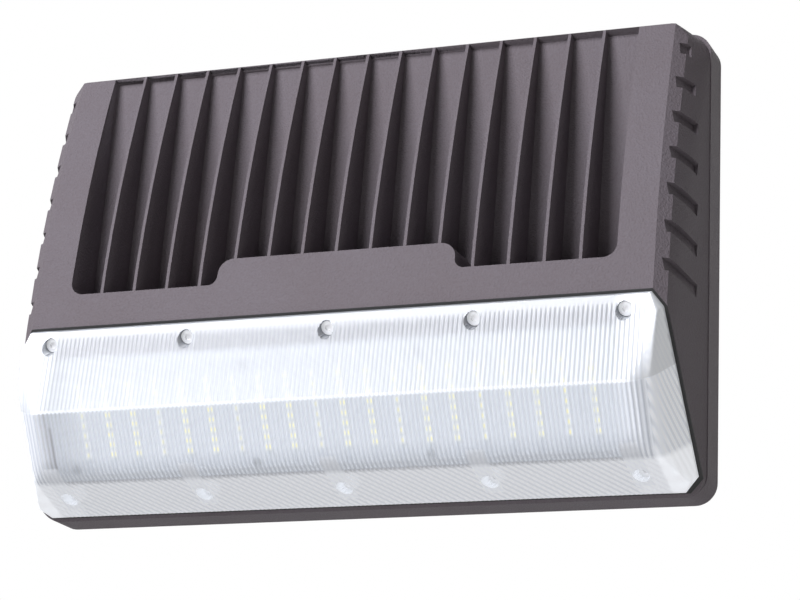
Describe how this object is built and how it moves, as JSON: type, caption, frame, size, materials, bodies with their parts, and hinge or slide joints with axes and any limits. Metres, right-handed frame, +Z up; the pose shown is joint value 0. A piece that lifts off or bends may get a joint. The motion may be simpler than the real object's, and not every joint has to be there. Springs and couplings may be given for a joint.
{
  "type": "wall pack light",
  "caption": "Outdoor wall pack light: flat back box, finned cast door that swings open on side hinges, and a reeded clear lens over a slanted LED board",
  "frame": {"origin": "middle of the flat rear face of the back box, which lies on the wall", "axes": "+X to the right as a viewer in front of the light sees it, -Y out of the wall towards the viewer, +Z up"},
  "size_m": [0.3674, 0.0816, 0.242],
  "materials": {
    "bronze_paint": "dark bronze textured powder coat",
    "grey_foam": "closed-cell foam",
    "white_silicone": "matte silicone",
    "black_rubber": "matte rubber",
    "driver_case": "brushed sheet",
    "zinc_steel": "zinc plated",
    "lead_jacket": "insulation",
    "nut_plastic": "moulded",
    "green_screw": "green finish",
    "black_jacket": "insulation",
    "black_plastic": "moulded",
    "stainless": "stainless steel",
    "clear_lens": "clear reeded polycarbonate",
    "white_paint": "white gloss",
    "board_white": "white solder mask",
    "phosphor": "yellow phosphor",
    "terminal_plastic": "moulded"
  },
  "bodies": {
    "box": {"back_plate": "bronze_paint", "box_wall": "bronze_paint", "wall_foam": "grey_foam", "rim_gasket": "white_silicone", "wire_bushing": "black_rubber", "led_driver": "driver_case", "driver_screws": "zinc_steel", "supply_leads": "lead_jacket", "wire_nuts": "nut_plastic", "ground_screw": "green_screw", "output_lead": "black_jacket", "lead_clip_box": "black_plastic", "hinge_pins": "stainless", "hinge_lead": "black_jacket"},
    "door": {"door_casting": "bronze_paint", "cooling_fins": "bronze_paint", "lens_frame": "bronze_paint", "lens": "clear_lens", "lens_gasket": "black_rubber", "lens_screws": "stainless", "carrier_plate": "white_paint", "carrier_screws": "zinc_steel", "led_board": "board_white", "leds": "phosphor", "board_screws": "zinc_steel", "board_terminal": "terminal_plastic", "board_lead": "black_jacket", "lead_clip_door": "black_plastic", "clamp_nuts": "zinc_steel"},
    "screw_middle": {"closure_screw_middle": "stainless"},
    "screw_right": {"closure_screw_right": "stainless"}
  },
  "joints": [
    {"name": "door_hinge", "type": "hinge", "parent": "box", "child": "door", "pos_m": [-0.184, -0.0202, 0], "axis": [0, 0, -1], "range_deg": [0, 100]},
    {"name": "middle_screw_lift", "type": "slide", "parent": "door", "child": "screw_middle", "axis": [0, 0, 1], "range_m": [0, 0.004]},
    {"name": "right_screw_lift", "type": "slide", "parent": "door", "child": "screw_right", "axis": [0, 0, 1], "range_m": [0, 0.004]}
  ]
}
